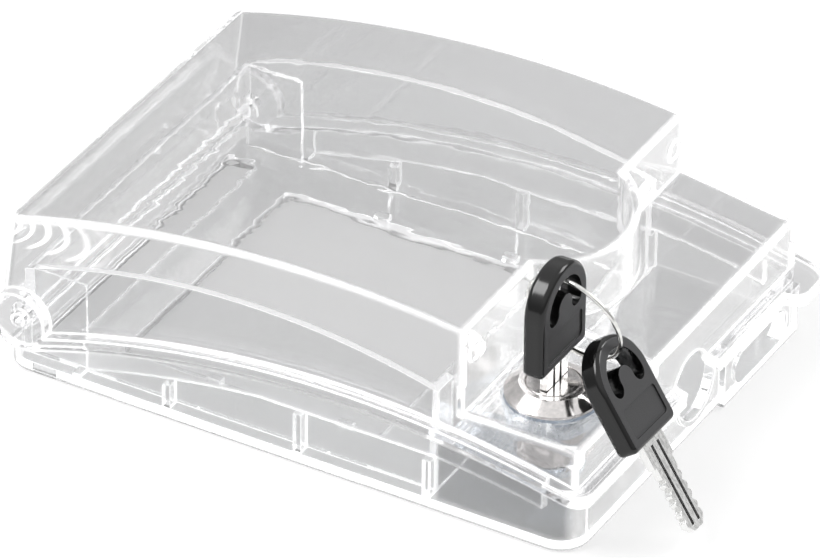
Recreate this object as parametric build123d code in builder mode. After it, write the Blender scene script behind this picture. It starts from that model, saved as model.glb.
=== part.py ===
"""Lockable outlet cover: a clear base frame that a wall outlet is clamped over, a clear domed lid that
swings on two pins at one end, and a cam lock with two keys at the other end.

Millimetres. X runs from the hinge end to the lock end, Y from the front long side to the back one and Z
away from the wall. The origin is the middle of the outlet window, on the face that lies on the wall.
"""

import os
from math import asin, cos, degrees, pi, radians, sin, sqrt

from build123d import *

os.makedirs("parts", exist_ok=True)

# Base frame
base_length = 165.0
base_width = 120.0
base_corner = 8.0
floor_thickness = 2.5
skirt_wall = 2.2
window_length = 75.0
window_width = 78.0
window_corner = 2.0
window_from_hinge_end = 25.0
well_wall = 2.0
well_from_hinge_end = 4.6
well_from_lock_end = 41.0
well_low_edge = 13.0
ridge_peak_z = 39.0
ridge_peak_from_hinge_end = 72.0
ridge_radius = 206.0
ear_width = 8.0
end_wall_height = 14.0
hinge_slot_length = 8.4
hinge_slot_width = 92.0
rib_thickness = 2.2
rib_places = (21.6, 48.0, 86.0, 122.9)
rib_top_gap = 1.3
cheek_length = 17.4
cheek_thickness = 1.0
block_length = 4.0
block_width = 2.6
block_height = 1.6
block_places = (28.0, 66.0)

# Seam between base and lid, an arch seen from the side
seam_peak_z = 22.2
seam_peak_from_hinge_end = 100.1
seam_radius = 273.5
seam_gap = 0.3
seam_overlap = 1.0
ear_gap = 0.4
ear_overlap = 4.5

# Cable outlets in the lock end
round_outlet_radius = 9.0
round_outlet_y = 2.0
round_outlet_z = 14.0
outlet_rim = 1.4
outlet_rim_height = 0.8
hood_width = 39.0
hood_from_back = 25.5
hood_height = 13.0
hood_depth = 1.8
oval_outlet_width = 28.0
oval_outlet_height = 9.0
oval_outlet_z = 7.0

# Hinge
hinge_from_end = 5.0
hinge_z = 14.5
lid_ear_radius = 8.0
hinge_pin_radius = 2.0
hinge_pin_running = 0.06
press_clearance = 0.02
pin_boss_radius = 3.8
pin_boss_height = 1.5
pin_bore_depth = 4.5
pin_end_gap = 0.4

# Lid
lid_wall = 2.0
lid_inset = 3.0
lid_end_inset = 1.0
lid_hinge_overhang = 3.0
flange_overhang = 2.5
flange_side_overhang = 0.5
flange_corner = 6.0
tab_reach = 7.0
tab_length = 16.0
tab_width = 16.0
tab_corner = 6.0
curl_end_gap = 1.0
curl_lift = 1.8
lid_well_gap = 0.6
flange_height = 3.5
lip_drop = 6.5
lip_start = 24.0
lip_from_lock_end = 10.0
dome_peak_z = 56.3
dome_peak_from_hinge_end = 92.6
dome_radius = 316.0
dome_from_lock_end = 33.2
end_flare = 3.5
dome_edge = 1.6
dome_corner = 4.0
dome_end_corner = 2.2
nose_width = 49.0
nose_depth = 13.0
nose_y = 2.0
step_z_dome = 37.0
step_z_lock = 32.3
step_edge = 2.2
platform_z = 29.5
platform_width = 39.0
mark_radius = 3.0
mark_wall = 0.8
mark_height = 0.5
mark_from_side = 6.0
mark_z = 45.0

# Cam lock
lock_from_lock_end = 18.7
lock_from_front = 22.8
bezel_radius = 12.3
bezel_lip = 0.8
bezel_height = 3.3
bezel_top_radius = 8.7
barrel_radius = 9.2
barrel_flat = 8.4
barrel_bottom_z = 13.6
barrel_hole_gap = 0.2
lock_nut_flats = 24.0
lock_nut_height = 4.0
lock_washer_radius = 12.4
lock_washer_height = 0.8
plug_radius = 6.2
plug_running = 0.06
plug_face_radius = 7.1
plug_face_height = 1.2
plug_bottom_z = 11.6
clip_height = 0.8
clip_groove_depth = 0.9
clip_radius = 7.0
clip_opening = 5.0
clip_gap = 0.06
keyway_width = 8.9
keyway_thickness = 2.3
keyway_bottom_z = 13.0
wafer_count = 5
wafer_pitch = 2.7
wafer_first_z = 28.4
wafer_thickness = 1.2
wafer_width = 5.0
wafer_gap = 0.15
wafer_length = 11.2
spring_radius = 0.6
spring_wall = 0.2
spring_length = 3.4
tail_square = 6.0
tail_radius = 3.8
tail_gap = 0.05
stop_plate_thickness = 0.8
stop_plate_radius = 7.0
stop_tab_radius = 8.8
stop_tab_angle = 30.0
cam_thickness = 2.0
cam_hub_radius = 7.5
cam_tip_radius = 6.5
cam_past_wall = 3.8
strike_gap = 0.4
cam_washer_thickness = 0.8
cam_screw_head_radius = 3.6
cam_screw_head_height = 2.2
cam_screw_radius = 1.6
cam_screw_length = 4.0

# Keys, each drawn from the middle of its head's lower edge
head_width = 22.8
head_height = 27.6
head_thickness = 5.8
head_corner = 1.8
head_round = 1.4
ring_slot_radius = 5.6
ring_slot_width = 4.8
ring_slot_sweep = 190.0
face_border = 2.8
face_depth = 0.4
blade_thickness = 2.0
blade_width = 8.4
blade_length = 18.7
neck_width = 10.4
neck_length = 6.8
tang_width = 7.6
tang_length = 9.0
groove_width = 1.1
groove_depth = 0.45
groove_offset = 1.6
cut_count = 5
cut_pitch = 2.7
cut_depth = 1.0
key_seat_gap = 0.3

# Ring and hanging key, measured from the lock
ring_radius = 13.49
ring_wire_radius = 0.6
ring_middle = (3.29, 3.87, 50.36)
ring_normal = (0.110, 0.954, 0.280)
hanging_key_place = (26.7, -0.2, 25.3)
hanging_key_across = (-0.044, 0.995, -0.094)
hanging_key_face = (0.820, 0.090, 0.565)

# Places worked out from the sizes above
hinge_end = -(window_from_hinge_end + window_length / 2)
lock_end = hinge_end + base_length
base_middle = (hinge_end + lock_end) / 2
base_side = base_width / 2
lid_side = base_side - lid_inset
lid_inside = lid_side - lid_wall
lid_start = hinge_end - lid_hinge_overhang
lid_end = lock_end - lid_end_inset
flange_end = lock_end + flange_overhang
flange_side = base_side + flange_side_overhang
hood_y = base_side - hood_from_back
well_side = lid_inside - lid_well_gap
well_start = hinge_end + well_from_hinge_end
well_end = lock_end - well_from_lock_end
well_length = well_end - well_start
hinge_x = hinge_end + hinge_from_end
dome_end = lock_end - dome_from_lock_end
lock_x = lock_end - lock_from_lock_end
lock_y = -base_side + lock_from_front
cam_reach = lock_x - well_end + cam_past_wall - cam_tip_radius
seam_at_hinge = hinge_z - lid_ear_radius - seam_gap
flange_start = hinge_x + ear_overlap
bezel_top_z = platform_z + bezel_height
cam_top_z = plug_bottom_z - stop_plate_thickness
cam_bottom_z = cam_top_z - cam_thickness
above_all = 90.0


def arch_z(x, peak_from_hinge_end, peak_z, radius):
    """Height of a long arch over the part, at x."""
    return peak_z - radius + sqrt(radius**2 - (x - hinge_end - peak_from_hinge_end) ** 2)


def seam_z(x):
    return arch_z(x, seam_peak_from_hinge_end, seam_peak_z, seam_radius)


def ridge_z(x):
    return arch_z(x, ridge_peak_from_hinge_end, ridge_peak_z, ridge_radius)


def dome_z(x, inset=0.0):
    return arch_z(x, dome_peak_from_hinge_end, dome_peak_z - inset, dome_radius - inset)


def arch_points(start_x, end_x, height):
    """Three points that hold an arch between two places."""
    middle_x = (start_x + end_x) / 2
    return [(x, height(x)) for x in (start_x, middle_x, end_x)]


# The two seam ends meet the arch here, so the skirt is level under the hinge ears.
seam_start = hinge_x + (seam_at_hinge - seam_z(hinge_x)) / (seam_z(hinge_x + 1) - seam_z(hinge_x))


# Inner well of the base: side walls with an arched ridge, a bridge at the hinge and a low end wall
with BuildPart() as well:
    with BuildSketch(Plane.XZ) as well_side_profile:
        with BuildLine():
            ridge = arch_points(well_start, well_end, ridge_z)
            ThreePointArc(*ridge)
            Polyline(ridge[2], (well_end, 0), (well_start, 0), ridge[0])
        make_face()
    extrude(amount=well_side, both=True)
    with BuildSketch(Plane.XY) as well_inside:
        with Locations(((well_start + well_end) / 2, 0)):
            Rectangle(well_length - 2 * well_wall, 2 * (well_side - well_wall))
    extrude(amount=above_all, mode=Mode.SUBTRACT)
    with BuildSketch(Plane.XY) as hinge_cheeks:
        cheek_y = well_side - well_wall - cheek_thickness / 2
        with Locations((well_start + cheek_length / 2, cheek_y), (well_start + cheek_length / 2, -cheek_y)):
            Rectangle(cheek_length, cheek_thickness)
    extrude(amount=ridge_z(well_start))
    with BuildSketch(Plane.XZ) as pin_bosses:
        with Locations((hinge_x, hinge_z)):
            Circle(pin_boss_radius)
    extrude(amount=well_side, both=True)
    with BuildSketch(Plane.XZ) as between_bosses:
        with Locations((hinge_x, hinge_z)):
            Circle(pin_boss_radius + 0.1)
    extrude(amount=well_side - well_wall - pin_boss_height, both=True, mode=Mode.SUBTRACT)
    # The bridge over the hinge slot
    bridge_middle = ((well_low_edge + ridge_z(well_start)) / 2)
    with Locations((well_start + well_wall / 2, 0, bridge_middle)):
        Box(well_wall, 2 * (well_side - well_wall), ridge_z(well_start) - well_low_edge)
    with Locations((well_start + well_wall / 2, 0, well_low_edge / 2)):
        Box(well_wall, 2 * (well_side - well_wall), well_low_edge, mode=Mode.SUBTRACT)
    # The end wall is tall at its corners only
    with BuildSketch(Plane.YZ.offset(well_end - well_wall)) as end_wall_gap:
        gap_side = well_side - ear_width
        with BuildLine():
            Polyline(
                (-gap_side, above_all),
                (-gap_side, end_wall_height),
                (gap_side, end_wall_height),
                (gap_side, above_all),
                (-gap_side, above_all),
            )
        make_face()
        fillet(end_wall_gap.vertices().group_by(Axis.Y)[0], 3.0)
    extrude(amount=well_wall, mode=Mode.SUBTRACT)
    with BuildSketch(Plane.XZ) as pin_holes:
        with Locations((hinge_x, hinge_z)):
            Circle(hinge_pin_radius + press_clearance)
    extrude(amount=well_side, both=True, mode=Mode.SUBTRACT)
    # The slot that the cam turns into, with the strike above it
    slot_low = cam_bottom_z - strike_gap
    slot_high = cam_top_z + strike_gap
    slot_start = lock_y - cam_tip_radius - 1.5
    slot_end = lock_y + sqrt((cam_reach + cam_tip_radius) ** 2 - (lock_x - well_end) ** 2) + 1.5
    with Locations((well_end - well_wall / 2, (slot_start + slot_end) / 2, (slot_low + slot_high) / 2)):
        Box(well_wall, slot_end - slot_start, slot_high - slot_low, mode=Mode.SUBTRACT)

with BuildPart() as base_frame:
    with BuildSketch() as outline:
        with Locations((base_middle, 0)):
            RectangleRounded(base_length, base_width, base_corner)
    extrude(amount=seam_peak_z + 1)
    # Hood and rim round the two cable outlets
    with Locations((lock_end + hood_depth / 2 - 1, hood_y, hood_height / 2)):
        Box(hood_depth + 2, hood_width, hood_height)
    with BuildSketch(Plane.YZ.offset(lock_end - 1)) as rim:
        with Locations((round_outlet_y, round_outlet_z)):
            Circle(round_outlet_radius + outlet_rim)
    extrude(amount=1 + outlet_rim_height)
    with BuildSketch(Plane.XY.offset(floor_thickness)) as inside:
        with Locations((base_middle, 0)):
            RectangleRounded(base_length - 2 * skirt_wall, base_width - 2 * skirt_wall, base_corner - skirt_wall)
    extrude(amount=above_all, mode=Mode.SUBTRACT)
    # Everything above the seam goes
    with BuildSketch(Plane.XZ) as above_seam:
        with BuildLine():
            seam = arch_points(seam_start, lock_end + 4, seam_z)
            ThreePointArc(*seam)
            Polyline(
                seam[2],
                (lock_end + 4, above_all),
                (hinge_end - 4, above_all),
                (hinge_end - 4, seam_at_hinge),
                seam[0],
            )
        make_face()
    extrude(amount=base_width, both=True, mode=Mode.SUBTRACT)
    with BuildSketch(Plane.XZ) as ear_notch:
        with Locations((hinge_x, hinge_z)):
            Circle(lid_ear_radius + ear_gap)
    extrude(amount=base_width, both=True, mode=Mode.SUBTRACT)
    fillet(base_frame.edges().group_by(Axis.Z)[0].filter_by(lambda e: e.length > 10), 0.6)
    # Ribs between the skirt and the well
    rib_depth = base_side - skirt_wall - well_side + 1
    for rib_place in rib_places:
        rib_x = hinge_end + rib_place
        rib_height = max(seam_z(rib_x) - lip_drop - rib_top_gap, floor_thickness + 1)
        for side in (-1, 1):
            with Locations((rib_x, side * (well_side + (rib_depth - 1) / 2), rib_height / 2)):
                Box(rib_thickness, rib_depth, rib_height)
    add(well.part)
    # Outlet window, and the slot under the bridge
    with BuildSketch() as floor_openings:
        RectangleRounded(window_length, window_width, window_corner)
        with Locations((well_start + well_wall / 2 + hinge_slot_length / 2 - 2, 0)):
            RectangleRounded(hinge_slot_length, hinge_slot_width, 1.5)
    extrude(amount=floor_thickness, mode=Mode.SUBTRACT)
    # Four blocks that keep the outlet plate from sliding
    for place in block_places:
        for side in (-1, 1):
            block_x = -window_length / 2 + place
            block_y = side * (window_width / 2 + block_width / 2)
            with Locations((block_x, block_y, floor_thickness + block_height / 2)):
                Box(block_length, block_width, block_height)
    # Cable outlets through the lock end
    with BuildSketch(Plane.YZ.offset(lock_end - skirt_wall - 1)) as outlets:
        with Locations((round_outlet_y, round_outlet_z)):
            Circle(round_outlet_radius)
        with Locations((hood_y, oval_outlet_z)):
            SlotOverall(oval_outlet_width, oval_outlet_height)
    extrude(amount=skirt_wall + hood_depth + 2, mode=Mode.SUBTRACT)

base_frame.part.label = "base_frame"
export_step(base_frame.part, "parts/base_frame.step")

# Hinge pins, pressed into the well from inside and running in the lid's ears
pin_start = well_side - well_wall - pin_boss_height - 0.3
pin_length = lid_inside + pin_bore_depth - pin_end_gap - pin_start
for side, pin_name in ((-1, "hinge_pin_front"), (1, "hinge_pin_back")):
    with BuildPart() as hinge_pin:
        with BuildSketch(Plane((hinge_x, side * pin_start, hinge_z), z_dir=(0, side, 0))):
            Circle(hinge_pin_radius)
        extrude(amount=pin_length)
        chamfer(hinge_pin.edges().filter_by(GeomType.CIRCLE), 0.4)
    hinge_pin.part.label = pin_name
    export_step(hinge_pin.part, f"parts/{pin_name}.step")

# Lid, outside: dome with its half-round nose
with BuildPart() as dome:
    with BuildSketch(Plane.XZ):
        with BuildLine():
            crown = arch_points(lid_start + end_flare, dome_end + nose_depth + 4, dome_z)
            ThreePointArc(*crown)
            Polyline(crown[2], (crown[2][0], hinge_z), (lid_start, hinge_z), crown[0])
        make_face()
    extrude(amount=lid_side, both=True)
    with BuildSketch() as dome_plan:
        with BuildLine():
            Polyline(
                (dome_end, nose_y - nose_width / 2),
                (dome_end, -lid_side),
                (lid_start - 1, -lid_side),
                (lid_start - 1, lid_side),
                (dome_end, lid_side),
                (dome_end, nose_y + nose_width / 2),
            )
            ThreePointArc(
                (dome_end, nose_y + nose_width / 2),
                (dome_end + nose_depth, nose_y),
                (dome_end, nose_y - nose_width / 2),
            )
        make_face()
        fillet(dome_plan.vertices().group_by(Axis.X)[-1], dome_end_corner)
    extrude(amount=above_all, mode=Mode.INTERSECT)
    end_corners = dome.edges().filter_by(lambda e: e.center().X < lid_start + end_flare and e.length > 20)
    fillet(end_corners.filter_by(lambda e: abs(e.center().Y) > lid_side - 1), dome_corner)
    fillet(dome.faces().sort_by(Axis.Z)[-1].edges(), dome_edge)

# Lid, inside of the dome
with BuildPart() as dome_hollow:
    with BuildSketch(Plane.XZ):
        with BuildLine():
            hollow_crown = arch_points(
                lid_start + end_flare + lid_wall, dome_end + nose_depth + 4, lambda x: dome_z(x, lid_wall)
            )
            ThreePointArc(*hollow_crown)
            Polyline(
                hollow_crown[2],
                (hollow_crown[2][0], -5),
                (hinge_x, -5),
                (hinge_x, hinge_z),
                (lid_start + lid_wall, hinge_z),
                hollow_crown[0],
            )
        make_face()
    extrude(amount=lid_inside, both=True)
    with BuildSketch(Plane.XY.offset(-5)) as hollow_plan:
        inner_end = dome_end - lid_wall
        inner_nose = nose_width / 2 - lid_wall
        with BuildLine():
            Polyline(
                (inner_end, nose_y - inner_nose),
                (inner_end, -lid_inside),
                (lid_start, -lid_inside),
                (lid_start, lid_inside),
                (inner_end, lid_inside),
                (inner_end, nose_y + inner_nose),
            )
            ThreePointArc(
                (inner_end, nose_y + inner_nose),
                (inner_end + nose_depth, nose_y),
                (inner_end, nose_y - inner_nose),
            )
        make_face()
    extrude(amount=above_all, mode=Mode.INTERSECT)

# Lid, outside of the lower step with the level lock platform
with BuildPart() as step:
    with BuildSketch(Plane.XZ):
        with BuildLine():
            Polyline(
                (dome_end - 10, hinge_z),
                (dome_end - 10, step_z_dome + 1),
                (dome_end, step_z_dome),
                (lid_end, step_z_lock),
                (lid_end, hinge_z),
                (dome_end - 10, hinge_z),
            )
        make_face()
    extrude(amount=lid_side, both=True)
    platform_edge = -lid_side + platform_width
    with Locations((dome_end + 50, platform_edge - 50, platform_z + 10)):
        Box(100, 100, 20, mode=Mode.SUBTRACT)
    fillet(
        step.edges().filter_by(Axis.Z).filter_by(lambda e: e.center().X > lid_end - 1 and e.length > 14),
        dome_corner,
    )
    fillet(
        step.edges().filter_by(lambda e: e.center().Z > platform_z - 1 and e.center().X > lid_end - 3),
        step_edge,
    )

with BuildPart() as step_hollow:
    with BuildSketch(Plane.XZ):
        inner_slope = (step_z_dome - step_z_lock) / (lid_end - dome_end) * lid_wall
        with BuildLine():
            Polyline(
                (dome_end - 12, -5),
                (dome_end - 12, step_z_dome - lid_wall),
                (dome_end, step_z_dome - lid_wall),
                (lid_end - lid_wall, step_z_lock - lid_wall + inner_slope),
                (lid_end - lid_wall, -5),
                (dome_end - 12, -5),
            )
        make_face()
    extrude(amount=lid_inside, both=True)
    with Locations((dome_end - lid_wall + 50, platform_edge + lid_wall - 50, platform_z - lid_wall + 10)):
        Box(100, 100, 20, mode=Mode.SUBTRACT)

# Lid: flange on the seam, and the lip that hangs inside the skirt
with BuildPart() as flange:
    with BuildSketch(Plane.XZ):
        # drawn past the end, where the outline trims it
        with BuildLine():
            low = arch_points(flange_start, lock_end + tab_reach + 2, lambda x: seam_z(x) + seam_gap)
            high = arch_points(flange_start, lock_end + tab_reach + 2, lambda x: seam_z(x) + seam_gap + flange_height)
            ThreePointArc(*low)
            Line(low[2], high[2])
            ThreePointArc(*high)
            Line(high[0], low[0])
        make_face()
    extrude(amount=flange_side, both=True)
    with BuildSketch(Plane.XZ):
        with Locations((hinge_x, hinge_z)):
            Circle(lid_ear_radius)
    extrude(amount=flange_side, both=True)
    with BuildSketch():
        with Locations(((lid_start - 1 + flange_end) / 2, 0)):
            RectangleRounded(flange_end - lid_start + 1, 2 * flange_side, flange_corner)
        # finger tab at the back corner
        with Locations((lock_end + tab_reach - tab_length / 2, flange_side - tab_width / 2)):
            RectangleRounded(tab_length, tab_width, tab_corner)
    extrude(amount=above_all, mode=Mode.INTERSECT)

with BuildPart() as lip:
    with BuildSketch(Plane.XZ):
        lip_x = hinge_end + lip_start
        with BuildLine():
            lip_end = lock_end - lip_from_lock_end
            lip_low = arch_points(lip_x, lip_end, lambda x: seam_z(x) - lip_drop)
            lip_high = arch_points(lip_x, lip_end, lambda x: seam_z(x) + 1)
            ThreePointArc(*lip_low)
            Line(lip_low[2], lip_high[2])
            ThreePointArc(*lip_high)
            Line(lip_high[0], lip_low[0])
        make_face()
    extrude(amount=lid_side, both=True)
    # Side walls from the seam up to the dome and the step
    with BuildSketch(Plane.XZ):
        with BuildLine():
            wall_low = arch_points(flange_start, lid_end, lambda x: seam_z(x) + seam_gap + seam_overlap)
            ThreePointArc(*wall_low)
            Polyline(wall_low[2], (lid_end, platform_z - 5), (flange_start, platform_z - 5), wall_low[0])
        make_face()
    extrude(amount=lid_side, both=True)

with BuildPart() as lid_cover:
    add(dome.part)
    add(step.part)
    add(flange.part)
    add(lip.part)
    add(dome_hollow.part, mode=Mode.SUBTRACT)
    add(step_hollow.part, mode=Mode.SUBTRACT)
    with BuildSketch(Plane.XZ):
        with Locations((hinge_x, hinge_z)):
            Circle(lid_ear_radius - lid_wall)
    extrude(amount=lid_inside, both=True, mode=Mode.SUBTRACT)
    # The end wall curls a quarter of the way under the hinge.
    with BuildSketch(Plane.XZ):
        with BuildLine():
            Polyline(
                (hinge_x, hinge_z),
                (hinge_x - lid_ear_radius, hinge_z - lid_ear_radius),
                (hinge_x, -5),
                (hinge_x + 40, -5),
                (hinge_x + 40, hinge_z),
                (hinge_x, hinge_z),
            )
        make_face()
    extrude(amount=lid_inside, both=True, mode=Mode.SUBTRACT)
    # The curl and the wall's foot stop short of the well's side walls, which they would hit.
    curl_side = hinge_slot_width / 2 - curl_end_gap
    for side in (-1, 1):
        with Locations((hinge_x - lid_ear_radius, side * (curl_side + lid_inside) / 2, hinge_z / 2)):
            Box(2 * lid_ear_radius, lid_inside - curl_side, hinge_z + 2 * curl_lift, mode=Mode.SUBTRACT)
    # Past the lip, the lid stops at the seam.
    with BuildSketch(Plane.XZ):
        with BuildLine():
            stop = arch_points(lip_end, flange_end + 2, lambda x: seam_z(x) + seam_gap)
            ThreePointArc(*stop)
            Polyline(stop[2], (stop[2][0], 0), (lip_end, 0), stop[0])
        make_face()
    extrude(amount=lid_side, both=True, mode=Mode.SUBTRACT)
    # Bores for the hinge pins
    for side in (-1, 1):
        with BuildSketch(Plane((hinge_x, side * (lid_inside - 1), hinge_z), z_dir=(0, side, 0))):
            Circle(hinge_pin_radius + hinge_pin_running)
        extrude(amount=pin_bore_depth + 1, mode=Mode.SUBTRACT)
    # Hole for the lock barrel
    with BuildSketch(Plane.XY.offset(platform_z - lid_wall - 1)) as barrel_hole:
        with Locations((lock_x, lock_y)):
            Circle(barrel_radius + barrel_hole_gap)
    extrude(amount=lid_wall + 2, mode=Mode.SUBTRACT)
    # Upper half of the round cable outlet
    with BuildSketch(Plane.YZ.offset(lid_end - lid_wall - 1)):
        with Locations((round_outlet_y, round_outlet_z)):
            Circle(round_outlet_radius)
    extrude(amount=flange_end - lid_end + lid_wall + 2, mode=Mode.SUBTRACT)
    # Two moulding marks on the end wall of the dome
    with BuildSketch(Plane.YZ.offset(dome_end)):
        with Locations((lid_side - mark_from_side, mark_z), (-lid_side + mark_from_side, mark_z)):
            Circle(mark_radius)
            Circle(mark_radius - mark_wall, mode=Mode.SUBTRACT)
    extrude(amount=mark_height)

lid_cover.part.label = "lid_cover"
export_step(lid_cover.part, "parts/lid_cover.step")

# Lock housing: bezel and barrel, with two lugs below that stop the cam
with BuildPart() as lock_housing:
    with BuildSketch(Plane.XZ.offset(-lock_y)) as housing_section:
        with BuildLine():
            Polyline(
                (lock_x + plug_radius + plug_running, barrel_bottom_z),
                (lock_x + barrel_radius, barrel_bottom_z),
                (lock_x + barrel_radius, platform_z),
                (lock_x + bezel_radius, platform_z),
                (lock_x + bezel_radius, platform_z + bezel_lip),
                (lock_x + bezel_top_radius, bezel_top_z),
                (lock_x + plug_face_radius + plug_running, bezel_top_z),
                (lock_x + plug_face_radius + plug_running, bezel_top_z - plug_face_height - plug_running),
                (lock_x + plug_radius + plug_running, bezel_top_z - plug_face_height - plug_running),
                (lock_x + plug_radius + plug_running, barrel_bottom_z),
            )
        make_face()
    revolve(axis=Axis((lock_x, lock_y, 0), (0, 0, 1)))
    for side in (-1, 1):
        flat_x = lock_x + side * (barrel_flat + barrel_radius / 2)
        with Locations((flat_x, lock_y, (barrel_bottom_z + platform_z - lid_wall) / 2)):
            Box(barrel_radius, 2 * barrel_radius, platform_z - lid_wall - barrel_bottom_z, mode=Mode.SUBTRACT)
    lug_inner = stop_plate_radius + 0.2
    lug_height = barrel_bottom_z - cam_top_z - 0.2
    lug_half = 9.0
    tab_half = stop_tab_angle / 2
    lug_angles = (90 + tab_half + lug_half + 1, 0 - tab_half - lug_half - 1)
    with BuildSketch(Plane.XY.offset(barrel_bottom_z - lug_height)) as lugs:
        with Locations((lock_x, lock_y)):
            Circle(barrel_flat)
            Circle(lug_inner, mode=Mode.SUBTRACT)
    extrude(amount=lug_height)
    for lug in range(2):
        start = lug_angles[lug] + lug_half
        sweep_angle = (lug_angles[1 - lug] - lug_half - start) % 360
        with BuildSketch(Plane.XY.offset(barrel_bottom_z - lug_height)):
            with BuildLine():
                spokes = [start + sweep_angle * part / 4 for part in range(5)]
                reach = 3 * barrel_radius
                points = [(lock_x + reach * cos(radians(a)), lock_y + reach * sin(radians(a))) for a in spokes]
                Polyline((lock_x, lock_y), *points, (lock_x, lock_y))
            make_face()
        extrude(amount=lug_height, mode=Mode.SUBTRACT)

lock_housing.part.label = "lock_housing"
export_step(lock_housing.part, "parts/lock_housing.step")

# Washer and nut that clamp the barrel under the platform
with BuildPart() as lock_washer:
    with BuildSketch(Plane.XY.offset(platform_z - lid_wall - lock_washer_height)):
        with Locations((lock_x, lock_y)):
            Circle(lock_washer_radius)
            Circle(barrel_radius + press_clearance, mode=Mode.SUBTRACT)
    extrude(amount=lock_washer_height)

lock_washer.part.label = "lock_washer"
export_step(lock_washer.part, "parts/lock_washer.step")

with BuildPart() as lock_nut:
    nut_bottom_z = platform_z - lid_wall - lock_washer_height - lock_nut_height
    with BuildSketch(Plane.XY.offset(nut_bottom_z)):
        with Locations((lock_x, lock_y)):
            Circle(lock_nut_flats / sqrt(3))
    extrude(amount=lock_nut_height)
    chamfer(lock_nut.edges().filter_by(GeomType.CIRCLE), 1.0)
    with BuildSketch(Plane.XY.offset(nut_bottom_z)):
        with Locations((lock_x, lock_y)):
            RegularPolygon(lock_nut_flats / 2, 6, major_radius=False, rotation=10)
    extrude(amount=lock_nut_height, mode=Mode.INTERSECT)
    with Locations((lock_x, lock_y, nut_bottom_z)):
        Cylinder(
            barrel_radius + press_clearance,
            3 * lock_nut_height,
            mode=Mode.SUBTRACT,
        )

lock_nut.part.label = "lock_nut"
export_step(lock_nut.part, "parts/lock_nut.step")

# Lock plug: turns in the barrel, with keyway, wafer slots, clip groove and square tail
plug_shoulder_z = bezel_top_z - plug_face_height
clip_groove_z = barrel_bottom_z - clip_height - clip_gap
wafer_heights = [wafer_first_z - wafer_pitch * wafer for wafer in range(wafer_count)]
pocket_width = 2 * spring_radius + 4 * wafer_gap
with BuildPart() as lock_plug:
    with BuildSketch(Plane.XY.offset(plug_bottom_z)):
        with Locations((lock_x, lock_y)):
            Circle(plug_radius)
    extrude(amount=plug_shoulder_z - plug_bottom_z)
    with BuildSketch(Plane.XY.offset(plug_shoulder_z)):
        with Locations((lock_x, lock_y)):
            Circle(plug_face_radius)
    extrude(amount=plug_face_height)
    chamfer(lock_plug.faces().sort_by(Axis.Z)[-1].edges(), 0.4)
    with BuildSketch(Plane.XY.offset(clip_groove_z - clip_gap)):
        with Locations((lock_x, lock_y)):
            Circle(plug_radius + 1)
            Circle(plug_radius - clip_groove_depth, mode=Mode.SUBTRACT)
    extrude(amount=clip_height + 2 * clip_gap, mode=Mode.SUBTRACT)
    tail_length = stop_plate_thickness + cam_thickness - 0.1
    with BuildSketch(Plane.XY.offset(plug_bottom_z - tail_length)):
        with Locations((lock_x, lock_y)):
            Rectangle(tail_square, tail_square)
            Circle(tail_radius, mode=Mode.INTERSECT)
    extrude(amount=tail_length)
    with Locations((lock_x, lock_y, (keyway_bottom_z + above_all) / 2)):
        Box(keyway_thickness, keyway_width, above_all - keyway_bottom_z, mode=Mode.SUBTRACT)
    for wafer_z in wafer_heights:
        with Locations((lock_x, lock_y, wafer_z)):
            Box(
                wafer_width + 2 * wafer_gap,
                2 * plug_radius + 2,
                wafer_thickness + 2 * wafer_gap,
                mode=Mode.SUBTRACT,
            )
        with Locations((lock_x + wafer_width / 2 + pocket_width / 2, lock_y, wafer_z)):
            Box(
                pocket_width,
                2 * spring_length + 4 * wafer_gap,
                wafer_thickness + 2 * wafer_gap,
                mode=Mode.SUBTRACT,
            )
    with Locations((lock_x, lock_y, plug_bottom_z)):
        Cylinder(
            cam_screw_radius + press_clearance,
            2 * (cam_screw_length - cam_washer_thickness - cam_thickness - stop_plate_thickness + 0.2),
            mode=Mode.SUBTRACT,
        )
    with BuildSketch(Plane.XY.offset(plug_bottom_z - tail_length)):
        with Locations((lock_x, lock_y)):
            Circle(cam_screw_radius + press_clearance)
    extrude(amount=tail_length, mode=Mode.SUBTRACT)

lock_plug.part.label = "lock_plug"
export_step(lock_plug.part, "parts/lock_plug.step")

# Tumbler wafers, each with a window for the key and a side tab for its spring
with BuildPart() as plug_wafers:
    for wafer_z in wafer_heights:
        with Locations((lock_x, lock_y, wafer_z)):
            Box(wafer_width, wafer_length, wafer_thickness)
            Box(keyway_thickness + wafer_gap, keyway_width + wafer_gap, wafer_thickness, mode=Mode.SUBTRACT)
        tab_width = pocket_width - 2 * wafer_gap
        with Locations((lock_x + wafer_width / 2 + tab_width / 2, lock_y + tab_width / 2, wafer_z)):
            Box(tab_width, tab_width, wafer_thickness)

plug_wafers.part.label = "plug_wafers"
export_step(plug_wafers.part, "parts/plug_wafers.step")

# Wafer springs, drawn as the small tubes that the coils fill
with BuildPart() as wafer_springs:
    for wafer_z in wafer_heights:
        spring_x = lock_x + wafer_width / 2 + pocket_width / 2
        with BuildSketch(Plane((spring_x, lock_y, wafer_z), z_dir=(0, -1, 0))):
            Circle(spring_radius)
            Circle(spring_radius - spring_wall, mode=Mode.SUBTRACT)
        extrude(amount=spring_length)

wafer_springs.part.label = "wafer_springs"
export_step(wafer_springs.part, "parts/wafer_springs.step")

# Clip that keeps the plug in the barrel
with BuildPart() as plug_clip:
    with BuildSketch(Plane.XY.offset(clip_groove_z)):
        with Locations((lock_x, lock_y)):
            Circle(clip_radius)
            Circle(plug_radius - clip_groove_depth + press_clearance, mode=Mode.SUBTRACT)
        with Locations((lock_x + clip_radius, lock_y)):
            Rectangle(2 * clip_radius, clip_opening, mode=Mode.SUBTRACT)
    extrude(amount=clip_height)

plug_clip.part.label = "plug_clip"
export_step(plug_clip.part, "parts/plug_clip.step")

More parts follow.
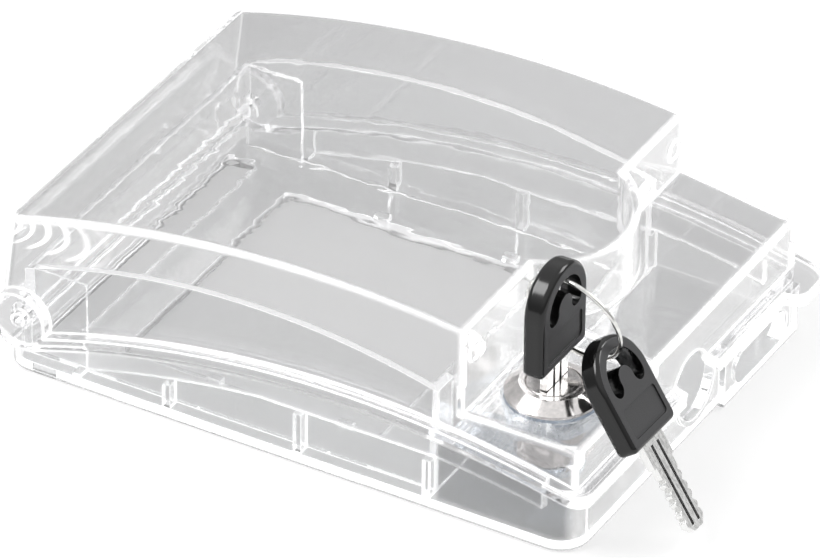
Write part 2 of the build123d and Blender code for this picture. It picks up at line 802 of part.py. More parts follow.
# Stop plate on the square tail, its tab between the barrel's two lugs
with BuildPart() as cam_stop_plate:
    with BuildSketch(Plane.XY.offset(cam_top_z)):
        with Locations((lock_x, lock_y)):
            Circle(stop_tab_radius)
        with BuildLine():
            tab_reach = 2 * stop_tab_radius
            tab_left = radians(90 + stop_tab_angle / 2)
            tab_right = radians(90 - stop_tab_angle / 2)
            Polyline(
                (lock_x, lock_y),
                (lock_x + tab_reach * cos(tab_right), lock_y + tab_reach * sin(tab_right)),
                (lock_x + tab_reach * cos(tab_left), lock_y + tab_reach * sin(tab_left)),
                (lock_x, lock_y),
            )
        make_face(mode=Mode.INTERSECT)
        with Locations((lock_x, lock_y)):
            Circle(stop_plate_radius)
            Rectangle(tail_square + 2 * tail_gap, tail_square + 2 * tail_gap, mode=Mode.SUBTRACT)
    extrude(amount=stop_plate_thickness)

cam_stop_plate.part.label = "cam_stop_plate"
export_step(cam_stop_plate.part, "parts/cam_stop_plate.step")

# Cam: a flat arm with a round end that reaches through the well's end wall
with BuildPart() as lock_cam:
    with BuildSketch(Plane.XY.offset(cam_bottom_z)):
        with Locations((lock_x, lock_y)):
            Circle(cam_hub_radius)
        with Locations((lock_x - cam_reach / 2, lock_y)):
            Rectangle(cam_reach, 2 * cam_tip_radius)
        with Locations((lock_x - cam_reach, lock_y)):
            Circle(cam_tip_radius)
        with Locations((lock_x, lock_y)):
            Rectangle(tail_square + 2 * tail_gap, tail_square + 2 * tail_gap, mode=Mode.SUBTRACT)
    extrude(amount=cam_thickness)

lock_cam.part.label = "lock_cam"
export_step(lock_cam.part, "parts/lock_cam.step")

# Washer and screw that hold the cam on the tail
with BuildPart() as cam_washer:
    with BuildSketch(Plane.XY.offset(cam_bottom_z - cam_washer_thickness)):
        with Locations((lock_x, lock_y)):
            Circle(cam_hub_radius - 2)
            Circle(cam_screw_radius + press_clearance, mode=Mode.SUBTRACT)
    extrude(amount=cam_washer_thickness)

cam_washer.part.label = "cam_washer"
export_step(cam_washer.part, "parts/cam_washer.step")

with BuildPart() as cam_screw:
    screw_seat_z = cam_bottom_z - cam_washer_thickness
    with BuildSketch(Plane.XY.offset(screw_seat_z - cam_screw_head_height)):
        with Locations((lock_x, lock_y)):
            Circle(cam_screw_head_radius)
    extrude(amount=cam_screw_head_height)
    fillet(cam_screw.faces().sort_by(Axis.Z)[0].edges(), 0.8)
    with BuildSketch(Plane.XY.offset(screw_seat_z - cam_screw_head_height)):
        with Locations((lock_x, lock_y)):
            Rectangle(0.9, 2 * cam_screw_head_radius - 2)
            Rectangle(2 * cam_screw_head_radius - 2, 0.9)
    extrude(amount=1.0, mode=Mode.SUBTRACT)
    with BuildSketch(Plane.XY.offset(screw_seat_z)):
        with Locations((lock_x, lock_y)):
            Circle(cam_screw_radius)
    extrude(amount=cam_screw_length)

cam_screw.part.label = "cam_screw"
export_step(cam_screw.part, "parts/cam_screw.step")

# Keys: a stamped blade with grooves and cuts, and a head moulded round its tang
standing_key = Plane((lock_x, lock_y, bezel_top_z + key_seat_gap + neck_length), x_dir=(0, 1, 0), z_dir=(1, 0, 0))
hanging_key = Plane(
    (lock_x + hanging_key_place[0], lock_y + hanging_key_place[1], hanging_key_place[2]),
    x_dir=hanging_key_across,
    z_dir=hanging_key_face,
)
head_arc_y = head_height - head_width / 2
tip_y = -neck_length - blade_length
for key_place, number in ((standing_key, 1), (hanging_key, 2)):
    with BuildPart() as key_blade:
        with BuildSketch(key_place.offset(-blade_thickness / 2)) as blade_outline:
            with Locations((0, (tip_y + tang_length) / 2)):
                Rectangle(tang_width, tang_length - tip_y)
            with Locations((0, (tip_y + 0) / 2)):
                Rectangle(blade_width, -tip_y)
            with Locations((0, -neck_length / 2)):
                Rectangle(neck_width, neck_length)
            chamfer(blade_outline.vertices().group_by(Axis.Y)[0], 2.0)
            for cut in range(cut_count):
                cut_y = tip_y + 4.0 + cut * cut_pitch
                depth = cut_depth * (0.55 + 0.15 * (cut * 2 % 4))
                for side in (-1, 1):
                    with Locations((side * blade_width / 2, cut_y)):
                        Rectangle(2 * depth, 2 * depth, rotation=45, mode=Mode.SUBTRACT)
        extrude(amount=blade_thickness)
        for face in (-1, 1):
            groove_plane = key_place.offset(face * (blade_thickness / 2 - groove_depth / 2))
            for side in (-1, 1):
                with Locations(groove_plane):
                    with Locations((side * groove_offset, tip_y / 2, 0)):
                        Box(groove_width, -tip_y - 3, groove_depth, mode=Mode.SUBTRACT)
    key_blade.part.label = f"key_blade_{number}"
    export_step(key_blade.part, f"parts/key_blade_{number}.step")

    with BuildPart() as key_head:
        with BuildSketch(key_place.offset(-head_thickness / 2)) as head_outline:
            with Locations((0, head_arc_y / 2)):
                Rectangle(head_width, head_arc_y)
            fillet(head_outline.vertices().group_by(Axis.Y)[0], head_corner)
            with Locations((0, head_arc_y)):
                Circle(head_width / 2)
        extrude(amount=head_thickness)
        fillet(key_head.edges().filter_by(key_place), head_round)
        slot_start_angle = 90 - ring_slot_sweep / 2
        ring_slot = CenterArc((0, head_arc_y), ring_slot_radius, slot_start_angle, ring_slot_sweep, mode=Mode.PRIVATE)
        with BuildSketch(key_place.offset(-head_thickness / 2 - 1)):
            SlotArc(ring_slot, ring_slot_width)
        extrude(amount=head_thickness + 2, mode=Mode.SUBTRACT)
        for face in (-1, 1):
            with BuildSketch(key_place.offset(face * (head_thickness / 2 - face_depth / 2))) as face_panel:
                panel_height = head_arc_y - ring_slot_radius - face_border
                with Locations((0, face_border + panel_height / 2)):
                    RectangleRounded(head_width - 2 * face_border, panel_height, 1.0)
            extrude(amount=face_depth / 2 + 0.01, both=True, mode=Mode.SUBTRACT)
        with Locations(key_place):
            with Locations((0, tang_length / 2, 0)):
                Box(
                    tang_width + 2 * press_clearance,
                    tang_length + 0.2,
                    blade_thickness + 2 * press_clearance,
                    mode=Mode.SUBTRACT,
                )
    key_head.part.label = f"key_head_{number}"
    export_step(key_head.part, f"parts/key_head_{number}.step")

# Split wire ring through both heads
ring_plane = Plane(
    (lock_x + ring_middle[0], lock_y + ring_middle[1], ring_middle[2]),
    z_dir=ring_normal,
)
with BuildPart() as key_ring:
    with Locations(ring_plane):
        Torus(ring_radius, ring_wire_radius)

key_ring.part.label = "key_ring"
export_step(key_ring.part, "parts/key_ring.step")
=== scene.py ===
"""Lockable outlet cover: a clear domed lid on a clear base frame.

A cam lock keeps the lid shut, and its two keys hang together on a wire ring.
"""

from math import cos, radians, sin

import bmesh
import bpy
from mathutils import Matrix, Vector

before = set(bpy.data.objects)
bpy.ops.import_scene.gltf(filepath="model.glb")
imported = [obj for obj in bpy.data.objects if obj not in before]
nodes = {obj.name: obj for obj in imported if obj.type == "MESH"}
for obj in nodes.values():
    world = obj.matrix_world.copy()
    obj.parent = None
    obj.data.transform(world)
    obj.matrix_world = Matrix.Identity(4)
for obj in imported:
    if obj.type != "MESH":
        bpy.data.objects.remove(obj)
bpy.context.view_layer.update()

# Camera: a long lens about two metres off, above the front long side and the lock end.
# Its angles, distance and focal length were fitted to the photograph's view.
mm = 0.001
camera_azimuth = radians(29.72)
camera_elevation = radians(34.48)
camera_roll = radians(0.45)
camera_distance = 1978 * mm
camera_aim = Vector((19.5, 0, 20)) * mm
camera_slide = 2.02 * mm
camera_rise = -1.20 * mm
focal_pixels = 7834
photo_width = 820
sensor_width = 36
nearest_seen = 0.1
farthest_seen = 20

camera_data = bpy.data.cameras.new("studio_camera")
camera_data.sensor_width = sensor_width
camera_data.lens = focal_pixels / photo_width * sensor_width
camera_data.clip_start = nearest_seen
camera_data.clip_end = farthest_seen
camera = bpy.data.objects.new("studio_camera", camera_data)
bpy.context.scene.collection.objects.link(camera)
backwards = Vector(
    (
        sin(camera_azimuth) * cos(camera_elevation),
        -cos(camera_azimuth) * cos(camera_elevation),
        sin(camera_elevation),
    )
)
level_right = Vector((cos(camera_azimuth), sin(camera_azimuth), 0))
level_up = backwards.cross(level_right)
camera_right = level_right * cos(camera_roll) + level_up * sin(camera_roll)
camera_up = level_up * cos(camera_roll) - level_right * sin(camera_roll)
camera_place = (
    camera_aim
    + backwards * camera_distance
    + level_right * camera_slide
    + level_up * camera_rise
)
turn = Matrix((camera_right, camera_up, backwards)).transposed().to_4x4()
camera.matrix_world = Matrix.Translation(camera_place) @ turn
bpy.context.scene.camera = camera
bpy.context.scene.view_settings.view_transform = "Standard"

# Studio: a plain pale floor in a soft white room, under two large soft lamps.
# The floor looks white to the eye and to the clear plastic, and keeps the shadow.
# Polished faces mirror a room that is darker towards the horizon.
floor_drop = 0.3 * mm
floor_half = 3.0
floor_paper = (0.34, 0.34, 0.34, 1)
floor_white = 0.70
floor_roughness = 0.9
room_colour = (1, 1, 1, 1)
room_white = 1.0
room_fill = 0.55
mirrored_low = 0.42
mirrored_low_height = 0.15
mirrored_full_height = 0.65


def start_material(name):
    """A new node material, with its nodes and its shader."""
    material = bpy.data.materials.new(name)
    material.use_nodes = True
    tree = material.node_tree
    return material, tree, tree.nodes["Principled BSDF"]


def feed(tree, source, socket):
    """Gives a node's input a link from another socket, or a plain value."""
    if isinstance(source, bpy.types.NodeSocket):
        tree.links.new(source, socket)
    else:
        socket.default_value = source


def calculate(tree, operation, *sources, clamp=False):
    """A sum on sockets or plain numbers."""
    node = tree.nodes.new("ShaderNodeMath")
    node.operation = operation
    node.use_clamp = clamp
    for source, socket in zip(sources, node.inputs):
        feed(tree, source, socket)
    return node.outputs[0]


def ramp(tree, value, low, high, start=0.0, end=1.0, smooth=False):
    """Goes from start to end as the value goes from low to high, and is level outside."""
    node = tree.nodes.new("ShaderNodeMapRange")
    if smooth:
        node.interpolation_type = "SMOOTHSTEP"
    feed(tree, value, node.inputs["Value"])
    feed(tree, low, node.inputs["From Min"])
    feed(tree, high, node.inputs["From Max"])
    feed(tree, start, node.inputs["To Min"])
    feed(tree, end, node.inputs["To Max"])
    return node.outputs["Result"]


def mix(tree, kind, mask, low, high):
    """A FLOAT or RGBA value that goes from low to high as the mask goes from 0 to 1."""
    node = tree.nodes.new("ShaderNodeMix")
    node.data_type = kind
    feed(tree, mask, node.inputs["Factor"])
    feed(tree, low, node.inputs["A"])
    feed(tree, high, node.inputs["B"])
    return node.outputs["Result"]


def split(tree, vector):
    """The X, Y and Z of a vector."""
    node = tree.nodes.new("ShaderNodeSeparateXYZ")
    feed(tree, vector, node.inputs[0])
    return node.outputs


def soft_lamp(name, place, size, power):
    """A square area lamp that points at the cover."""
    lamp_data = bpy.data.lights.new(name, "AREA")
    lamp_data.shape = "SQUARE"
    lamp_data.size = size
    lamp_data.energy = power
    lamp = bpy.data.objects.new(name, lamp_data)
    bpy.context.scene.collection.objects.link(lamp)
    lamp.location = place
    aim = camera_aim - Vector(place)
    lamp.rotation_euler = aim.to_track_quat("-Z", "Y").to_euler()


floor_mesh = bpy.data.meshes.new("studio_floor")
floor_sheet = bmesh.new()
floor_level = Matrix.Translation((0, 0, -floor_drop))
bmesh.ops.create_grid(
    floor_sheet, x_segments=1, y_segments=1, size=floor_half, matrix=floor_level
)
floor_sheet.to_mesh(floor_mesh)
floor_sheet.free()
floor = bpy.data.objects.new("studio_floor", floor_mesh)
bpy.context.scene.collection.objects.link(floor)

floor_paint, tree, shader = start_material("white_floor")
shader.inputs["Base Color"].default_value = floor_paper
shader.inputs["Roughness"].default_value = floor_roughness
shader.inputs["Specular IOR Level"].default_value = 0.0
shader.inputs["Emission Color"].default_value = room_colour
ray = tree.nodes.new("ShaderNodeLightPath")
not_lighting = calculate(tree, "SUBTRACT", 1.0, ray.outputs["Is Diffuse Ray"])
floor_glow = calculate(tree, "MULTIPLY", not_lighting, floor_white)
feed(tree, floor_glow, shader.inputs["Emission Strength"])
floor_mesh.materials.append(floor_paint)

room = bpy.data.worlds.new("studio_room")
bpy.context.scene.world = room
room.use_nodes = True
tree = room.node_tree
background = tree.nodes["Background"]
background.inputs["Color"].default_value = room_colour
ray = tree.nodes.new("ShaderNodeLightPath")
seen = calculate(
    tree, "MAXIMUM", ray.outputs["Is Camera Ray"], ray.outputs["Is Transmission Ray"]
)
strength = ramp(tree, seen, 0.0, 1.0, room_fill, room_white)
way = tree.nodes.new("ShaderNodeTexCoord")
height = split(tree, way.outputs["Generated"])["Z"]
mirrored = ramp(
    tree,
    height,
    mirrored_low_height,
    mirrored_full_height,
    mirrored_low,
    room_white,
    smooth=True,
)
strength = mix(tree, "FLOAT", ray.outputs["Is Glossy Ray"], strength, mirrored)
feed(tree, strength, background.inputs["Strength"])

soft_lamp("key_lamp", place=(-0.5, -0.5, 0.9), size=0.6, power=9)
soft_lamp("rim_lamp", place=(0.6, 0.7, 0.7), size=0.5, power=5)

# Base frame: one clear polycarbonate moulding, clamped to the wall behind the outlet's plate.
# Its edges are painted white and glow, as painted light for the light that runs along inside
# its thin walls and comes out at their tops.
plastic_index = 1.58
base_tint = (0.76, 0.765, 0.77, 1)
base_glow = (0.52, 0.52, 0.52, 1)
base_edge = 0.4 * mm
base_edge_highlight = 0.8
bevel_samples = 6
edge_sharpness = 6.0

# The area by the lock, in the front long side, is painted darker than the rest of the frame,
# as painted shade of the lock's parts and platform behind it.
lock_shade_tint = (0.42, 0.425, 0.43, 1)
lock_shade_x = (63.5 * mm, 64.5 * mm)
lock_shade_y = (-55 * mm, -57 * mm)
lock_shade_z = (3.2 * mm, 4.0 * mm)

# The first walls in the way tint what lies behind them, and those behind them hardly do.
# The end walls stand square to the light, so their tint is painted paler than the long ones',
# as painted light.
deep_tint = (0.97, 0.97, 0.97, 1)
first_wall_depth = 1.0
deep_wall_depth = 4.5
painted_end_light = (0.90, 0.90, 0.90, 1)
end_way_from = 0.5
end_way_full = 0.9

# Edges are painted white as a painted highlight, and take a painted grey shade where they roll
# away from the eye.
# Along the wall the foot of every upright face shows a thin grey line of painted shadow.
painted_edge_white = (1, 1, 1, 1)
painted_outline_shade = (0.16, 0.16, 0.16, 1)
roll_from = 0.64
roll_white_gone = 0.84
roll_grey_full = 0.90
upright_limit = 0.5
foot_shadow_height = 1.1 * mm
foot_shadow_full = foot_shadow_height * 0.6

# Where rays run out of bounces inside a wall, an even grey glow is painted in place of the
# light caught there.
no_glow = (0.0, 0.0, 0.0, 1)
caught_light = (0.50, 0.50, 0.50, 1)
caught_bounces = 2.5
caught_walls = 9.5

# The faces are polished, with a trace of haze and the slow swell of a moulding.
haze_scale = 60.0
haze_stretch = (1, 3, 3)
haze_most = 0.03
swell_scale = 14.0
swell_stretch = (1, 2, 2)
swell_strength = 0.2
swell_height = 0.5 * mm


def combine(tree, operation, first, second):
    """Two vectors: a dot product comes out as a number, and all else as a vector."""
    node = tree.nodes.new("ShaderNodeVectorMath")
    node.operation = operation
    feed(tree, first, node.inputs[0])
    feed(tree, second, node.inputs[1])
    return node.outputs["Value" if operation == "DOT_PRODUCT" else "Vector"]


def all_of(tree, mask, *others):
    """The masks multiplied, which is 1 only where all of them are."""
    for other in others:
        mask = calculate(tree, "MULTIPLY", mask, other)
    return mask


def new_group(name, inputs, outputs):
    """An empty node group, with what it is given and what it puts out.

    Its inputs are (name, kind, value), and its outputs are (name, kind).
    """
    group = bpy.data.node_groups.new(name, "ShaderNodeTree")
    for socket_name, kind, value in inputs:
        socket = group.interface.new_socket(socket_name, in_out="INPUT", socket_type=kind)
        socket.default_value = value
    for socket_name, kind in outputs:
        group.interface.new_socket(socket_name, in_out="OUTPUT", socket_type=kind)
    given = group.nodes.new("NodeGroupInput").outputs
    result = group.nodes.new("NodeGroupOutput").inputs
    return group, given, result


def place_group(tree, group, **sources):
    """Puts a group in a material, with its own values, and gives what it puts out."""
    node = tree.nodes.new("ShaderNodeGroup")
    node.node_tree = group
    for name, source in sources.items():
        feed(tree, source, node.inputs[name])
    return node.outputs


rounded_edge, given, result = new_group(
    "rounded_edge",
    [
        ("Width", "NodeSocketFloat", 0.5 * mm),
        ("Sharpness", "NodeSocketFloat", edge_sharpness),
    ],
    [("Mask", "NodeSocketFloat"), ("Normal", "NodeSocketVector")],
)
bevel = rounded_edge.nodes.new("ShaderNodeBevel")
bevel.samples = bevel_samples
feed(rounded_edge, given["Width"], bevel.inputs["Radius"])
flat = rounded_edge.nodes.new("ShaderNodeNewGeometry")
agree = combine(
    rounded_edge, "DOT_PRODUCT", bevel.outputs["Normal"], flat.outputs["Normal"]
)
differ = calculate(rounded_edge, "SUBTRACT", 1.0, agree)
edge_mask = calculate(rounded_edge, "MULTIPLY", differ, given["Sharpness"], clamp=True)
feed(rounded_edge, edge_mask, result["Mask"])
feed(rounded_edge, bevel.outputs["Normal"], result["Normal"])

fine_surface, given, result = new_group(
    "fine_surface",
    [
        ("Place", "NodeSocketVector", (0, 0, 0)),
        ("Scale", "NodeSocketFloat", 400.0),
        ("Stretch", "NodeSocketVector", (1, 1, 1)),
        ("Low", "NodeSocketFloat", 0.0),
        ("High", "NodeSocketFloat", 1.0),
    ],
    [("Value", "NodeSocketFloat")],
)
noise_detail = 4.0
noise_low = 0.3
noise_high = 0.7
noise = fine_surface.nodes.new("ShaderNodeTexNoise")
noise.inputs["Detail"].default_value = noise_detail
stretched = combine(fine_surface, "MULTIPLY", given["Place"], given["Stretch"])
feed(fine_surface, stretched, noise.inputs["Vector"])
feed(fine_surface, given["Scale"], noise.inputs["Scale"])
unevenness = ramp(
    fine_surface, noise.outputs["Fac"], noise_low, noise_high, given["Low"], given["High"]
)
feed(fine_surface, unevenness, result["Value"])


def uneven(tree, where, scale, stretch=(1, 1, 1), low=0.0, high=1.0):
    """The fine_surface group on a piece's own place."""
    place = where.outputs["Object"]
    surface = place_group(
        tree, fine_surface, Place=place, Scale=scale, Stretch=stretch, Low=low, High=high
    )
    return surface["Value"]


def clear_plastic(name, tint, edge_width, edge_highlight, glow, lock_shade=None, marks=None):
    """Clear plastic. A lock shade and marks are functions that give a mask, where there are
    any; the lock shade is painted shade.
    """
    material, tree, shader = start_material(name)
    shader.inputs["Transmission Weight"].default_value = 1.0
    shader.inputs["IOR"].default_value = plastic_index
    shader.inputs["Emission Strength"].default_value = 1.0
    where = tree.nodes.new("ShaderNodeTexCoord")
    along = split(tree, where.outputs["Object"])
    facing = split(tree, where.outputs["Normal"])
    ray = tree.nodes.new("ShaderNodeLightPath")
    walls_passed = ray.outputs["Transmission Depth"]

    edge = place_group(tree, rounded_edge, Width=edge_width)
    roll = tree.nodes.new("ShaderNodeLayerWeight")
    roll.inputs["Blend"].default_value = 0.5
    feed(tree, edge["Normal"], roll.inputs["Normal"])
    rolled = roll.outputs["Facing"]
    # Painted highlight: the rounded edges turn white, and the flow marks join them.
    highlight_and_marks = calculate(tree, "MULTIPLY", edge["Mask"], edge_highlight)
    if marks:
        highlight_and_marks = calculate(tree, "MAXIMUM", highlight_and_marks, marks(tree, along, facing))
    in_sight = ramp(tree, rolled, roll_from, roll_white_gone, 1.0, 0.0, smooth=True)
    highlight_and_marks = all_of(tree, highlight_and_marks, in_sight)

    # Painted shade: grey where the faces roll away at the silhouette, and a painted shadow
    # line at the foot of upright faces.
    silhouette = ramp(tree, rolled, roll_from, roll_grey_full, smooth=True)
    slope = calculate(tree, "ABSOLUTE", facing["Z"])
    upright = calculate(tree, "LESS_THAN", slope, upright_limit)
    low_down = ramp(tree, along["Z"], foot_shadow_full, foot_shadow_height, 1.0, 0.0, smooth=True)
    foot_shadow = all_of(tree, upright, low_down)
    painted_grey_shade = calculate(tree, "MAXIMUM", silhouette, foot_shadow)

    # Painted shade: the area by the lock takes a darker tint.
    tint_and_lock_shade = mix(tree, "RGBA", lock_shade(tree, along), tint, lock_shade_tint) if lock_shade else tint
    # Painted light: faces turned to the ends take a paler tint.
    end_way = calculate(tree, "ABSOLUTE", facing["X"])
    end_face = ramp(tree, end_way, end_way_from, end_way_full, smooth=True)
    first_tint_with_painted_light = mix(tree, "RGBA", end_face, tint_and_lock_shade, painted_end_light)
    deep = ramp(tree, walls_passed, first_wall_depth, deep_wall_depth)
    tinted = mix(tree, "RGBA", deep, first_tint_with_painted_light, deep_tint)
    lit = mix(tree, "RGBA", highlight_and_marks, tinted, painted_edge_white)
    outlined = mix(tree, "RGBA", painted_grey_shade, lit, painted_outline_shade)
    feed(tree, outlined, shader.inputs["Base Color"])

    # Painted glow: past the bounce limit the plastic gives off an even grey.
    bounced = calculate(tree, "GREATER_THAN", ray.outputs["Glossy Depth"], caught_bounces)
    passed = calculate(tree, "GREATER_THAN", walls_passed, caught_walls)
    caught = calculate(tree, "MAXIMUM", bounced, passed)
    # Painted glow: the white edges and the flow marks give off light, except along the painted
    # foot shadow.
    edge_light = mix(tree, "RGBA", highlight_and_marks, no_glow, glow)
    edge_light = mix(tree, "RGBA", foot_shadow, edge_light, no_glow)
    edge_light = mix(tree, "RGBA", caught, edge_light, caught_light)
    feed(tree, edge_light, shader.inputs["Emission Color"])

    haze = uneven(tree, where, haze_scale, haze_stretch, high=haze_most)
    feed(tree, haze, shader.inputs["Roughness"])
    swell = tree.nodes.new("ShaderNodeBump")
    swell.inputs["Strength"].default_value = swell_strength
    swell.inputs["Distance"].default_value = swell_height
    feed(tree, uneven(tree, where, swell_scale, swell_stretch), swell.inputs["Height"])
    feed(tree, edge["Normal"], swell.inputs["Normal"])
    feed(tree, swell.outputs["Normal"], shader.inputs["Normal"])
    return material


def lock_shade_mask(tree, along):
    """The mask of the painted shade by the lock."""
    beside_lock = ramp(tree, along["X"], *lock_shade_x)
    at_front = ramp(tree, along["Y"], *lock_shade_y)
    above_foot = ramp(tree, along["Z"], *lock_shade_z)
    return all_of(tree, beside_lock, at_front, above_foot)


def dress(node_names, material):
    """The CAD pieces of these names take this material."""
    for node_name in node_names:
        slots = nodes[node_name].data.materials
        slots.clear()
        slots.append(material)


clear_base = clear_plastic(
    "clear_base", base_tint, base_edge, base_edge_highlight, base_glow, lock_shade=lock_shade_mask
)
dress(["base_frame"], clear_base)

# Hinge pins: two short lengths of clear rod, of the same plastic as the frame.
# They are pressed into the frame's bosses, and the lid swings on them.
pin_edge = 0.3 * mm
pin_edge_highlight = 0.9
clear_pin = clear_plastic("clear_pin", base_tint, pin_edge, pin_edge_highlight, base_glow)
dress(["hinge_pin_front", "hinge_pin_back"], clear_pin)

# Lid: one shell of the same plastic, 2 mm thick and a little greyer, with polished faces.
# It swings on the two pins, and shows the plastic's flow as white lines at the hinge end.
lid_tint = (0.66, 0.66, 0.665, 1)
lid_glow = (0.60, 0.60, 0.60, 1)
lid_edge = 1.15 * mm
lid_edge_highlight = 0.75
flow_white = 0.75
flow_start = -66 * mm
flow_fading = -54 * mm
flow_end = -28 * mm
flow_middle = 42 * mm
flow_bend = 130.0
flow_scale = 16.0
flow_waviness = 1.5
flow_detail = 0.5
flow_detail_scale = 1.5
flow_width = 0.3
flow_half_full = 5.0 * mm
flow_half_gone = 7.5 * mm
front_way = -0.7


def flow_marks(tree, along, facing):
    """White arcs on the front long wall, wider apart towards the middle of the lid."""
    from_middle = calculate(tree, "SUBTRACT", along["Z"], flow_middle)
    squared = calculate(tree, "MULTIPLY", from_middle, from_middle)
    bulge = calculate(tree, "MULTIPLY_ADD", squared, flow_bend, along["X"])
    run = calculate(tree, "SUBTRACT", bulge, flow_start, clamp=True)
    course = tree.nodes.new("ShaderNodeCombineXYZ")
    feed(tree, calculate(tree, "SQRT", run), course.inputs["X"])
    feed(tree, along["Y"], course.inputs["Y"])
    feed(tree, along["Z"], course.inputs["Z"])
    bands = tree.nodes.new("ShaderNodeTexWave")
    bands.wave_type = "BANDS"
    bands.bands_direction = "X"
    bands.inputs["Scale"].default_value = flow_scale
    bands.inputs["Distortion"].default_value = flow_waviness
    bands.inputs["Detail"].default_value = flow_detail
    bands.inputs["Detail Scale"].default_value = flow_detail_scale
    feed(tree, course.outputs[0], bands.inputs["Vector"])
    line = ramp(tree, bands.outputs["Fac"], 1.0 - flow_width, 1.0, smooth=True)
    near_middle = ramp(
        tree, squared, flow_half_full**2, flow_half_gone**2, 1.0, 0.0, smooth=True
    )
    front_face = calculate(tree, "LESS_THAN", facing["Y"], front_way)
    front_half = calculate(tree, "LESS_THAN", along["Y"], 0.0)
    fading = ramp(tree, along["X"], flow_fading, flow_end, flow_white, 0.0, smooth=True)
    return all_of(tree, line, near_middle, front_face, front_half, fading)


clear_lid = clear_plastic(
    "clear_lid", lid_tint, lid_edge, lid_edge_highlight, lid_glow, marks=flow_marks
)
dress(["lid_cover"], clear_lid)

# Lock housing: the barrel of a cam lock with its conical bezel, a zinc die casting.
# It is polished and chrome plated, and its nut clamps it in the lid's platform.
chrome_bright = (0.80, 0.77, 0.76, 1)
chrome_dark = (0.66, 0.64, 0.63, 1)
chrome_roughness = 0.12
plated_grain = 900.0
plated_polish = 500.0
plated_edge = 0.15 * mm
smoothest_share = 0.7
roughest_share = 1.5


def soften_edges(tree, shader, width):
    """Rounds the look of a piece's edges."""
    edge = place_group(tree, rounded_edge, Width=width)
    feed(tree, edge["Normal"], shader.inputs["Normal"])


def plated_metal(name, bright, dark, roughness, stretch=(1, 1, 1)):
    """Bright plated metal with a fine drawn or ground grain."""
    material, tree, shader = start_material(name)
    shader.inputs["Metallic"].default_value = 1.0
    where = tree.nodes.new("ShaderNodeTexCoord")
    grain = uneven(tree, where, plated_grain, stretch)
    feed(tree, mix(tree, "RGBA", grain, dark, bright), shader.inputs["Base Color"])
    smoothest = roughness * smoothest_share
    roughest = roughness * roughest_share
    polish = uneven(tree, where, plated_polish, stretch, smoothest, roughest)
    feed(tree, polish, shader.inputs["Roughness"])
    soften_edges(tree, shader, plated_edge)
    return material


lock_chrome = plated_metal("lock_chrome", chrome_bright, chrome_dark, chrome_roughness)
dress(["lock_housing"], lock_chrome)

# Lock plug: the part that the key turns, of the same plated casting as the housing.
# It sits deeper in the barrel, so its colour is painted darker than the housing's, as painted
# shade and a painted reflection of the dark key head above it.
shaded_plug_bright = (0.56, 0.54, 0.53, 1)
shaded_plug_dark = (0.34, 0.33, 0.33, 1)
plug_roughness = 0.14
shaded_plug_chrome = plated_metal("shaded_plug_chrome", shaded_plug_bright, shaded_plug_dark, plug_roughness)
dress(["lock_plug"], shaded_plug_chrome)

# Nut, washers, cam, stop plate and screw: turned or stamped steel with bright zinc plating.
# The nut and its washer hold the barrel, and the screw holds the rest on the plug's tail.
zinc_bright = (0.90, 0.93, 0.96, 1)
zinc_dark = (0.74, 0.78, 0.83, 1)
zinc_roughness = 0.22
zinc_stretch = (1, 0.2, 1)
zinc = plated_metal("zinc_plated", zinc_bright, zinc_dark, zinc_roughness, zinc_stretch)
dress(
    ["lock_nut", "lock_washer", "lock_cam", "cam_stop_plate", "cam_washer", "cam_screw"],
    zinc,
)

# Wafers: five thin plates of plain stamped brass, which the key lines up in the plug.
# They slide in its slots, and nothing coats them.
brass_bright = (0.78, 0.63, 0.33, 1)
brass_dark = (0.62, 0.48, 0.24, 1)
brass_roughness = 0.3
stamped_brass = plated_metal("stamped_brass", brass_bright, brass_dark, brass_roughness)
dress(["plug_wafers"], stamped_brass)

# Wafer springs and plug clip: bare spring steel, one spring to each wafer.
# The clip snaps round the plug and keeps it in the barrel.
spring_bright = (0.50, 0.51, 0.52, 1)
spring_dark = (0.40, 0.41, 0.42, 1)
spring_roughness = 0.25
spring_steel = plated_metal("spring_steel", spring_bright, spring_dark, spring_roughness)
dress(["wafer_springs", "plug_clip"], spring_steel)

# Key blades: stamped steel with milled grooves, nickel plated. One stands in the lock.
# The plating is bright, and the grooves' floors are painted near black, as painted shadow and
# reflection.
standing_middle = Vector((83.8, -37.2, 60)) * mm
standing_face = Vector((1, 0, 0))
hanging_middle = Vector((110.5, -37.4, 25.3)) * mm
hanging_face = Vector((0.820, 0.090, 0.565)).normalized()
blade_half = 1.0 * mm
groove_depth = 0.45 * mm
groove_floor_limit = blade_half - groove_depth / 2
nickel = (0.86, 0.86, 0.85, 1)
groove_painted_shade = (0.012, 0.012, 0.012, 1)
mill_scale = 1200.0
mill_stretch = (1, 1, 0.1)
blade_smoothest = 0.18
blade_roughest = 0.38
blade_edge = 0.12 * mm
flat_limit = 0.95


def flat_faces(tree, where, middle, face_way, limit):
    """The mask of a key's flat faces that lie within this limit of its middle."""
    from_middle = combine(tree, "SUBTRACT", where.outputs["Object"], middle)
    across = combine(tree, "DOT_PRODUCT", from_middle, face_way)
    within = calculate(tree, "LESS_THAN", calculate(tree, "ABSOLUTE", across), limit)
    level = combine(tree, "DOT_PRODUCT", where.outputs["Normal"], face_way)
    level = calculate(tree, "ABSOLUTE", level)
    flat = calculate(tree, "GREATER_THAN", level, flat_limit)
    return all_of(tree, within, flat)


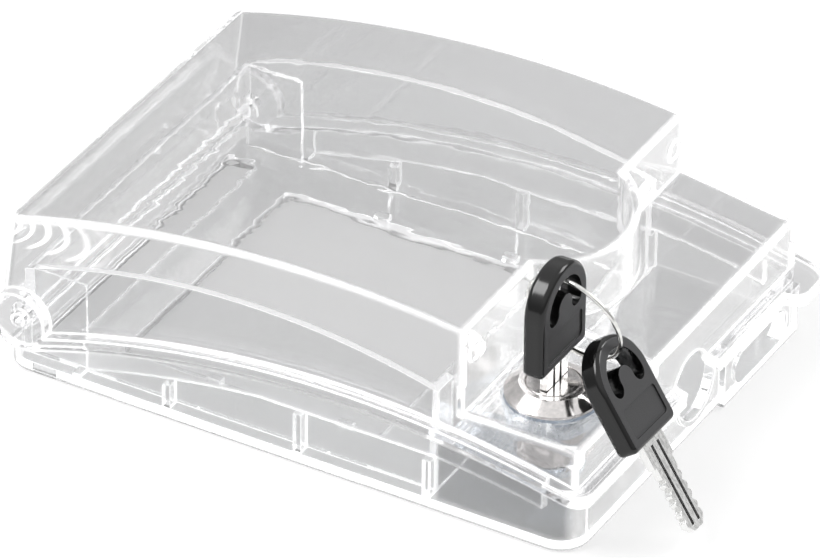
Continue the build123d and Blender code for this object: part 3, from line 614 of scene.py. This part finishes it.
def key_blade(name, middle, face_way):
    """Bright nickel, with painted shadow and reflection darkening the grooves, and fine lines
    from the mill.
    """
    material, tree, shader = start_material(name)
    shader.inputs["Metallic"].default_value = 1.0
    where = tree.nodes.new("ShaderNodeTexCoord")
    # Painted shade: the groove floors are coloured near black.
    groove = flat_faces(tree, where, middle, face_way, groove_floor_limit)
    colour = mix(tree, "RGBA", groove, nickel, groove_painted_shade)
    feed(tree, colour, shader.inputs["Base Color"])
    milled = uneven(tree, where, mill_scale, mill_stretch, blade_smoothest, blade_roughest)
    feed(tree, milled, shader.inputs["Roughness"])
    soften_edges(tree, shader, blade_edge)
    return material


dress(["key_blade_1"], key_blade("standing_blade", standing_middle, standing_face))
dress(["key_blade_2"], key_blade("hanging_blade", hanging_middle, hanging_face))

# Key heads: black plastic moulded round the blade's tang.
# The rim is glossy, and the flat faces have the mould's fine grain.
head_half = 2.9 * mm
head_margin = 0.2 * mm
rim_black = (0.003, 0.003, 0.003, 1)
face_black = (0.042, 0.042, 0.044, 1)
rim_roughness = 0.13
face_roughness = 0.55
head_grain = 2600.0
head_grain_strength = 0.35
head_grain_height = 0.06 * mm
head_edge = 0.3 * mm


def key_head(name, middle, face_way):
    """Glossy black rim, dark grey satin faces."""
    material, tree, shader = start_material(name)
    where = tree.nodes.new("ShaderNodeTexCoord")
    face = flat_faces(tree, where, middle, face_way, head_half + head_margin)
    colour = mix(tree, "RGBA", face, rim_black, face_black)
    feed(tree, colour, shader.inputs["Base Color"])
    sheen = ramp(tree, face, 0.0, 1.0, rim_roughness, face_roughness)
    feed(tree, sheen, shader.inputs["Roughness"])
    texture = tree.nodes.new("ShaderNodeBump")
    texture.inputs["Strength"].default_value = head_grain_strength
    texture.inputs["Distance"].default_value = head_grain_height
    grained = all_of(tree, uneven(tree, where, head_grain), face)
    feed(tree, grained, texture.inputs["Height"])
    edge = place_group(tree, rounded_edge, Width=head_edge)
    feed(tree, edge["Normal"], texture.inputs["Normal"])
    feed(tree, texture.outputs["Normal"], shader.inputs["Normal"])
    return material


dress(["key_head_1"], key_head("standing_head", standing_middle, standing_face))
dress(["key_head_2"], key_head("hanging_head", hanging_middle, hanging_face))

# Key ring: one thin wire of bare spring steel, drawn bright and bent to a ring.
# It runs through both key heads and carries the hanging key.
wire_bright = (0.86, 0.86, 0.84, 1)
wire_dark = (0.68, 0.68, 0.66, 1)
wire_roughness = 0.14
dress(["key_ring"], plated_metal("ring_wire", wire_bright, wire_dark, wire_roughness))
